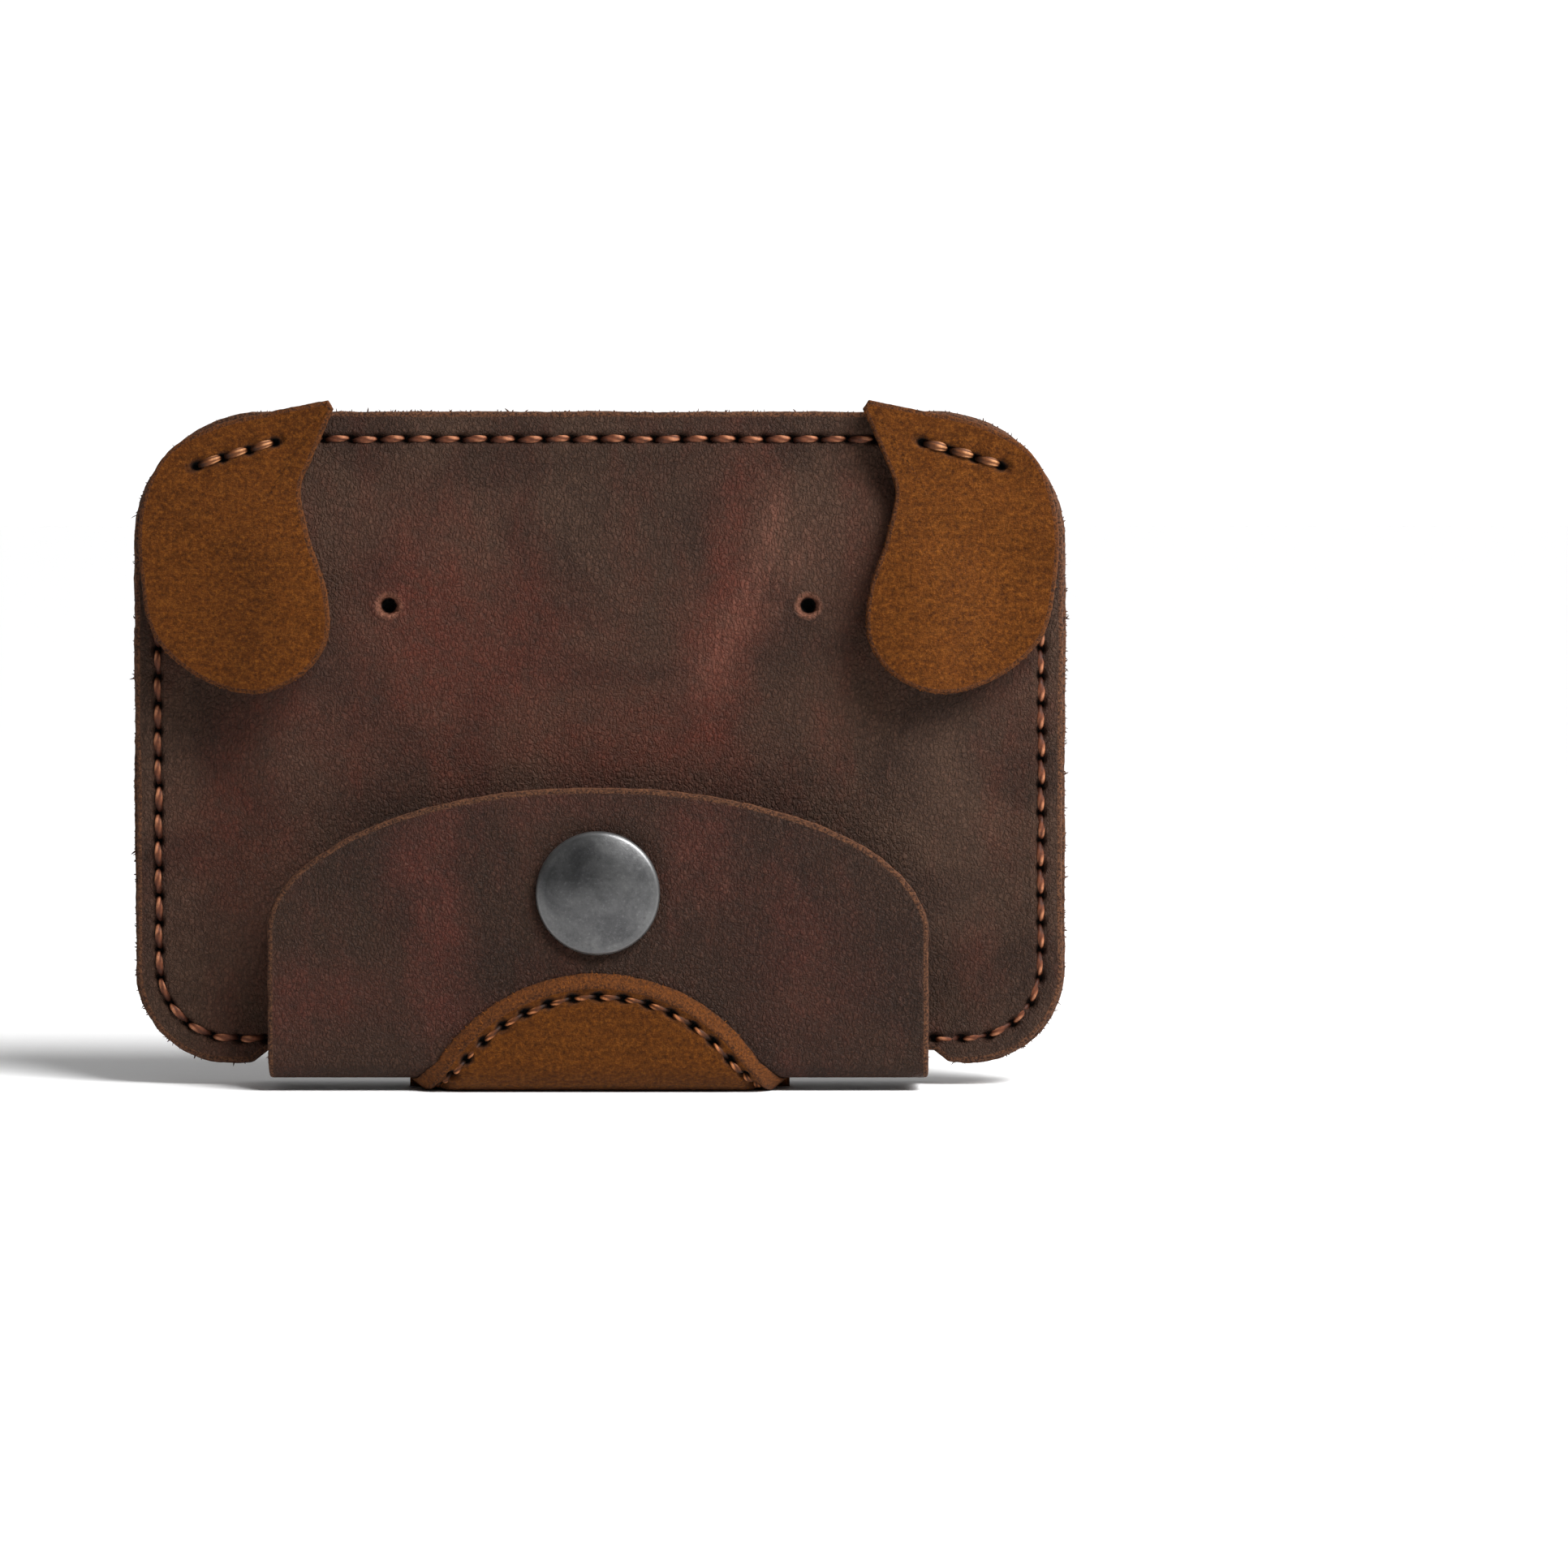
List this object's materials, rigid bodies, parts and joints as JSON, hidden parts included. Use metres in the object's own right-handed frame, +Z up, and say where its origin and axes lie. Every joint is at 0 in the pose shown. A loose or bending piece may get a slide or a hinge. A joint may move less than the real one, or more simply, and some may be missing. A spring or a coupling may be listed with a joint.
{
  "type": "wallet",
  "caption": "Hand-stitched leather pouch wallet shaped as a dog's face, with hanging ears, punched eyes and a snout flap that folds under and closes on a snap.",
  "frame": {"origin": "on the floor, under the middle of the pouch standing on its folded bottom edge", "axes": "+Z up, -Y towards the face with the snap, +X to the right seen from the front"},
  "size_m": [0.1082, 0.0182, 0.0799],
  "materials": {
    "dark_leather": "waxed pull-up leather, dark brown, satin",
    "tan_nubuck": "tan nubuck, matt",
    "ear_nubuck": "tan nubuck, matt",
    "cap_metal": "dark antique nickel, worn satin",
    "snap_metal": "dark antique nickel",
    "thread": "waxed copper-brown thread",
    "ear_thread": "waxed copper-brown thread",
    "patch_thread": "waxed copper-brown thread"
  },
  "bodies": {
    "pouch": {"front_panel": "dark_leather", "back_panel": "dark_leather", "patch_back": "tan_nubuck", "ear_left_base": "ear_nubuck", "ear_right_base": "ear_nubuck", "snap_stud": "snap_metal", "snap_post": "snap_metal", "seam_thread": "thread", "ear_left_thread": "ear_thread", "ear_right_thread": "ear_thread", "patch_thread_back": "patch_thread"},
    "fold": {"flap_fold": "dark_leather", "patch_fold": "tan_nubuck", "patch_thread_fold": "patch_thread"},
    "flap": {"snout_flap": "dark_leather", "patch_front": "tan_nubuck", "patch_thread_front": "patch_thread", "snap_cap": "cap_metal", "snap_socket": "snap_metal"},
    "ear_left": {"ear_left_lobe": "ear_nubuck"},
    "ear_right": {"ear_right_lobe": "ear_nubuck"}
  },
  "joints": [
    {"name": "flap_fold_hinge", "type": "hinge", "parent": "pouch", "child": "fold", "pos_m": [0, 0.00825, 0], "axis": [1, 0, 0], "range_deg": [0, 90]},
    {"name": "flap_hinge", "type": "hinge", "parent": "fold", "child": "flap", "pos_m": [0, -0.00825, 0], "axis": [1, 0, 0], "range_deg": [0, 90]},
    {"name": "ear_left_bend", "type": "hinge", "parent": "pouch", "child": "ear_left", "pos_m": [-0.042, -0.00245, 0.0719], "axis": [-0.9511, 0, -0.309], "range_deg": [0, 75]},
    {"name": "ear_right_bend", "type": "hinge", "parent": "pouch", "child": "ear_right", "pos_m": [0.042, -0.00245, 0.0719], "axis": [-0.9511, 0, 0.309], "range_deg": [0, 75]}
  ],
  "couplings": [
    {"joint": "flap_fold_hinge", "follows": "flap_hinge", "ratio": 1}
  ]
}
